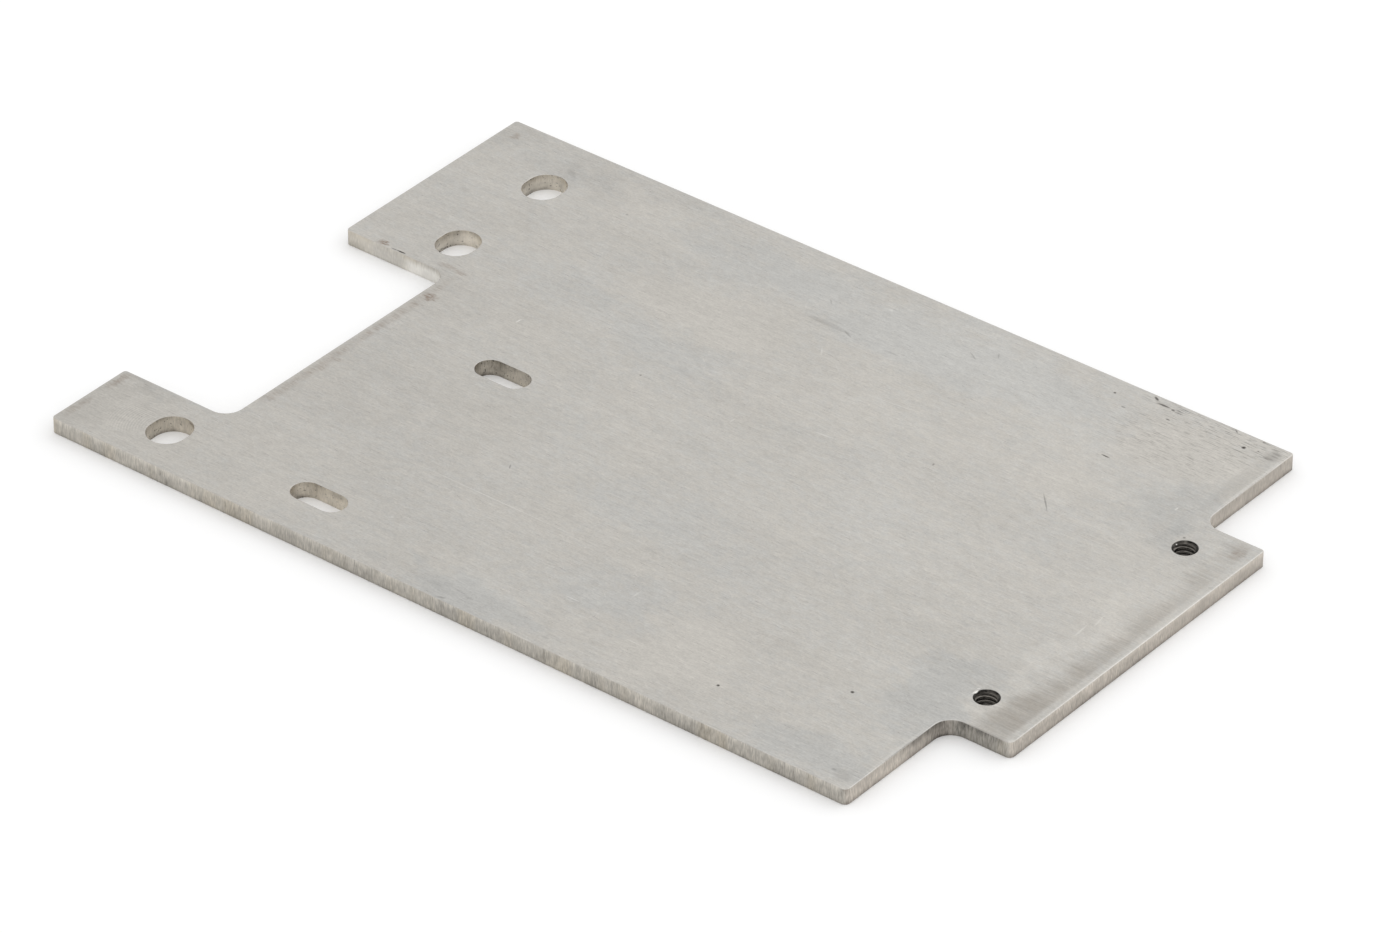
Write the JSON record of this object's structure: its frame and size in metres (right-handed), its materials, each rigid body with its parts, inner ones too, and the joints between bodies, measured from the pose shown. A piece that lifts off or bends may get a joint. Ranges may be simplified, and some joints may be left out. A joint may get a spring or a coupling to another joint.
{
  "type": "diverter plate",
  "caption": "Flat brushed steel diverter plate with a notched end, a stepped tongue, slotted fixing holes, adjusting slots and tapped holes.",
  "frame": {"origin": "middle of the plate's box, on its lower face", "axes": "+X along the length, from the notched end to the tongue; +Y across the width; +Z out of the upper face"},
  "size_m": [0.273, 0.1842, 0.0048],
  "materials": {
    "brushed_plate": "brushed along the length, lightly stained"
  },
  "bodies": {
    "root": {"diverter_plate": "brushed_plate"}
  },
  "joints": []
}
